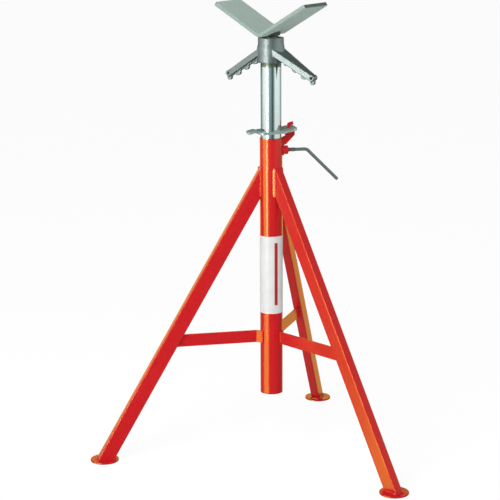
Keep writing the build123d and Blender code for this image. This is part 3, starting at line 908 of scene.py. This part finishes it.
# Saddle boss: a turned steel ring round the screw's spigot, between the screw's shoulder and the V. Its
# top is cut to the V's underside and welded to it all round.
boss_radius = 18 * mm
boss_bead = 1.7 * mm
boss_bead_step = 1.4 * mm
boss_bead_gap = 0.5 * mm
boss_ring = boss_radius + boss_bead_gap

# Turned steel in a random mottle from dark grey to nearly black: painted shade for the boss and its weld,
# which sit in the shadow under the V.
shaded_boss_steel, tree, shader, point = new_material("painted_shade_turned_steel")
boss_mottle = add(tree, "ShaderNodeTexNoise", {"Vector": point, "Scale": 1 / (5 * mm), "Detail": 4}).outputs[0]
colour = add(
    tree, "ShaderNodeMix", {0: boss_mottle, 6: linear("#353B37"), 7: linear("#5E6862")}, data_type="RGBA"
).outputs[2]
roughness = add(tree, "ShaderNodeMapRange", {0: boss_mottle, 3: 0.4, 4: 0.6}).outputs[0]
feed(shader, {"Base Color": colour, "Roughness": roughness, "Metallic": 0.6})

boss = merged_copy("saddle_boss", "saddle_boss_turned")
ease_edges(boss, 0.35 * mm)
boss.data.materials.append(shaded_boss_steel)
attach(boss, "head")
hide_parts("saddle_boss")

ring_run = []
for step in range(48):
    turn = math.radians(step * 7.5)
    out = boss_ring * math.cos(turn)
    under_arm = saddle_apex + abs(out) * math.tan(saddle_rise)
    under_bend = saddle_underside + saddle_bend - math.sqrt(max(0, saddle_bend ** 2 - out ** 2))
    level = max(under_arm, under_bend) - boss_bead_gap
    ring_run.append(Vector((out, boss_ring * math.sin(turn), level)))
turn = Matrix.Rotation(saddle_turn, 3, "Z")
run = [turn @ p for p in evenly(ring_run, boss_bead_step, True)]
bead = weld_bead("saddle_boss_weld", [run], boss_bead)
# The weld under the V takes the same painted shade.
bead.data.materials.append(shaded_boss_steel)
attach(bead, "head")


# Floor, lights and camera of a plain pale studio. The floor fades to white for the camera and keeps a
# soft shadow, and it doesn't show in gloss, so that plated parts mirror the studio's walls.
bpy.ops.object.select_all(action="DESELECT")
bpy.ops.mesh.primitive_plane_add(size=60, location=(0, 0, 0))
floor = bpy.context.object
floor.name = "floor"
floor.visible_glossy = False
floor.visible_shadow = False
floor_fade = 0.84
paper, tree, shader, _ = new_material("white_paper_sweep")
feed(shader, {"Base Color": linear("#F4F4F4"), "Roughness": 0.9, "Specular IOR Level": 0.0})
is_camera = add(tree, "ShaderNodeLightPath").outputs["Is Camera Ray"]
white = add(tree, "ShaderNodeEmission", {"Color": linear("#FFFFFF"), "Strength": 1.06}).outputs[0]
share = add(tree, "ShaderNodeMath", {0: is_camera, 1: floor_fade}, operation="MULTIPLY").outputs[0]
faded = add(tree, "ShaderNodeMixShader", {0: share, 1: shader.outputs[0], 2: white}).outputs[0]
feed(tree.nodes["Material Output"], {"Surface": faded})
floor.data.materials.append(paper)

# World: white for the camera, an even level for plain surfaces, and for gloss a white studio with a
# darker side behind the camera.
camera_azimuth = math.radians(-102.4)
world = bpy.data.worlds.new("studio")
bpy.context.scene.world = world
world.use_nodes = True
tree = world.node_tree
tree.nodes.clear()
way = add(tree, "ShaderNodeTexCoord").outputs["Generated"]
parts = add(tree, "ShaderNodeSeparateXYZ", {0: way}).outputs
to_camera = add(
    tree, "ShaderNodeMapping", {"Vector": way, "Rotation": (0, 0, -camera_azimuth)}
).outputs[0]
turned = add(tree, "ShaderNodeSeparateXYZ", {0: to_camera}).outputs
angle = add(tree, "ShaderNodeMath", {0: turned[1], 1: turned[0]}, operation="ARCTAN2").outputs[0]
share = add(tree, "ShaderNodeMapRange", {0: angle, 1: -math.pi, 2: math.pi, 3: 0.0, 4: 1.0}).outputs[0]
# Degrees to the right of the camera, seen from the stand, and the studio's colour there. The walls are
# dark behind the camera and behind the stand, white to the left and pale to the right. The floor before
# them is nearly black but for a lamp's light to the left, and grey behind the stand.
studio_walls = [
    (-180, "#6E7A77"), (-140, "#76847F"), (-118, "#98ABA6"), (-98, "#E2EDEA"), (-85, "#FFFFFF"),
    (-36, "#FFFFFF"), (-24, "#B4C8C8"), (-10, "#8AA3A2"), (4, "#7C9697"), (11, "#4A5F5D"),
    (25, "#4C5F5F"), (36, "#A9B6B4"), (46, "#F6FCFA"), (95, "#F0F7F4"), (122, "#B8C6C3"),
    (140, "#7E8C88"), (180, "#6E7A77"),
]
studio_floor = [
    (-180, "#6C6E66"), (-130, "#605A46"), (-100, "#2C2210"), (-88, "#14120E"), (-78, "#6E746C"),
    (-30, "#8A9088"), (-23, "#3A3E38"), (-10, "#101010"), (95, "#262214"), (120, "#34362E"),
    (155, "#40423C"), (180, "#6C6E66"),
]
ramps = []
for colours in (studio_walls, studio_floor):
    ramp = add(tree, "ShaderNodeValToRGB", {0: share})
    stops = ramp.color_ramp.elements
    while len(stops) < len(colours):
        stops.new(0.5)
    for stop, (degrees, code) in zip(stops, colours):
        stop.position = (degrees + 180) / 360
        stop.color = linear(code)
    ramps.append(ramp.outputs[0])
path = add(tree, "ShaderNodeLightPath").outputs
# The studio is darker towards its ceiling and straight down, under the stand, than at eye level.
ceiling = add(tree, "ShaderNodeMapRange", {0: parts[2], 1: 0.05, 2: 0.5, 3: 1.25, 4: 0.35}).outputs[0]
under = add(tree, "ShaderNodeMapRange", {0: parts[2], 1: -0.5, 2: -0.4, 3: 0.3, 4: 1.0}).outputs[0]
level = add(tree, "ShaderNodeMath", {0: ceiling, 1: under}, operation="MULTIPLY").outputs[0]
# The floor's colours show from 9 to 26 degrees below the horizon.
from_wall = add(
    tree, "ShaderNodeMapRange", {0: parts[2], 1: -0.160, 2: -0.178, 3: 0.0, 4: 1.0}
).outputs[0]
to_foot = add(tree, "ShaderNodeMapRange", {0: parts[2], 1: -0.41, 2: -0.47, 3: 1.0, 4: 0.0}).outputs[0]
on_floor = add(tree, "ShaderNodeMath", {0: from_wall, 1: to_foot}, operation="MULTIPLY").outputs[0]
even = add(tree, "ShaderNodeBackground", {"Color": linear("#FFFFFF"), "Strength": 0.5}).outputs[0]
wall_gloss = add(tree, "ShaderNodeBackground", {"Color": ramps[0], "Strength": level}).outputs[0]
floor_gloss = add(tree, "ShaderNodeBackground", {"Color": ramps[1], "Strength": 3.0}).outputs[0]
gloss = add(tree, "ShaderNodeMixShader", {0: on_floor, 1: wall_gloss, 2: floor_gloss}).outputs[0]
white = add(tree, "ShaderNodeBackground", {"Color": linear("#FFFFFF"), "Strength": 0.97}).outputs[0]
seen = add(tree, "ShaderNodeMixShader", {0: path["Is Glossy Ray"], 1: even, 2: gloss}).outputs[0]
seen = add(tree, "ShaderNodeMixShader", {0: path["Is Transmission Ray"], 1: seen, 2: gloss}).outputs[0]
seen = add(tree, "ShaderNodeMixShader", {0: path["Is Camera Ray"], 1: seen, 2: white}).outputs[0]
add(tree, "ShaderNodeOutputWorld", {"Surface": seen})


def softbox(name, degrees, distance, height, aim_height, size, watts, tint="#FFFFFF"):
    """A soft lamp that the camera doesn't see, at an angle to the camera's right, aimed at the stand."""
    turn = camera_azimuth + math.radians(degrees)
    place = Vector((distance * math.cos(turn), distance * math.sin(turn), height))
    lamp = bpy.data.lights.new(name, "AREA")
    lamp.shape = "RECTANGLE"
    lamp.size, lamp.size_y = size
    lamp.energy = watts
    lamp.color = linear(tint)[:3]
    holder = bpy.data.objects.new(name, lamp)
    bpy.context.scene.collection.objects.link(holder)
    holder.location = place
    holder.rotation_euler = (Vector((0, 0, aim_height)) - place).to_track_quat("-Z", "Y").to_euler()
    holder.visible_camera = False
    return holder


# The key and the fill light plain colours, and the strip only shows in gloss, as a narrow box close by
# does. The boards are warm reflectors. Only the red enamel mirrors them and the streak box. Each is given
# by its angle in degrees, its distance, its height and the height it's aimed at, its size, watts and tint.
key = softbox("key_box", -30, 2.6, 1.9, 0.45, (1.6, 1.6), 54)
fill = softbox("fill_box", 75, 2.6, 1.2, 0.45, (1.6, 1.6), 2)
strip = softbox("strip_box", -42, 2.4, 0.97, 0.97, (0.5, 2.5), 28)
board = softbox("warm_board", -58.5, 2.4, -0.3, -0.3, (2.62, 1.8), 68, "#E8FF60")
streak = softbox("streak_box", -44, 2.4, 0.25, 0.25, (0.42, 1.0), 17, "#DCEAFF")
rear_board = softbox("rear_board", 147.5, 2.4, -0.3, -0.3, (0.9, 1.4), 3.0, "#FFE830")
back_board = softbox("back_board", 186, 2.4, 0.4, 0.4, (3.4, 1.3), 15, "#FFDC38")
enamelled = bpy.data.collections.new("enamelled")
for piece in bpy.data.objects:
    if piece.type == "MESH" and red_enamel.name in piece.data.materials:
        enamelled.objects.link(piece)
for lamp in (key, fill):
    lamp.visible_glossy = False
for lamp in (strip, board, streak, rear_board, back_board):
    lamp.visible_diffuse = False
for lamp in (board, streak, rear_board, back_board):
    lamp.light_linking.receiver_collection = enamelled

# Camera at the photograph's place: a long lens a little above the saddle's height, looking down.
lens = bpy.data.cameras.new("camera")
camera = bpy.data.objects.new("camera", lens)
bpy.context.scene.collection.objects.link(camera)
lens.lens = 113.84
lens.sensor_width = 36
lens.clip_end = 200
heading = Matrix.Rotation(math.radians(-11.609), 4, "Z")
tilt = Matrix.Rotation(math.radians(77.243), 4, "X")
roll = Matrix.Rotation(math.radians(-0.3), 4, "Z")
camera_place = Matrix.Translation((-0.6525, -2.9677, 1.0984))
camera.matrix_world = camera_place @ heading @ tilt @ roll
bpy.context.scene.camera = camera
bpy.context.scene.view_settings.view_transform = "Standard"
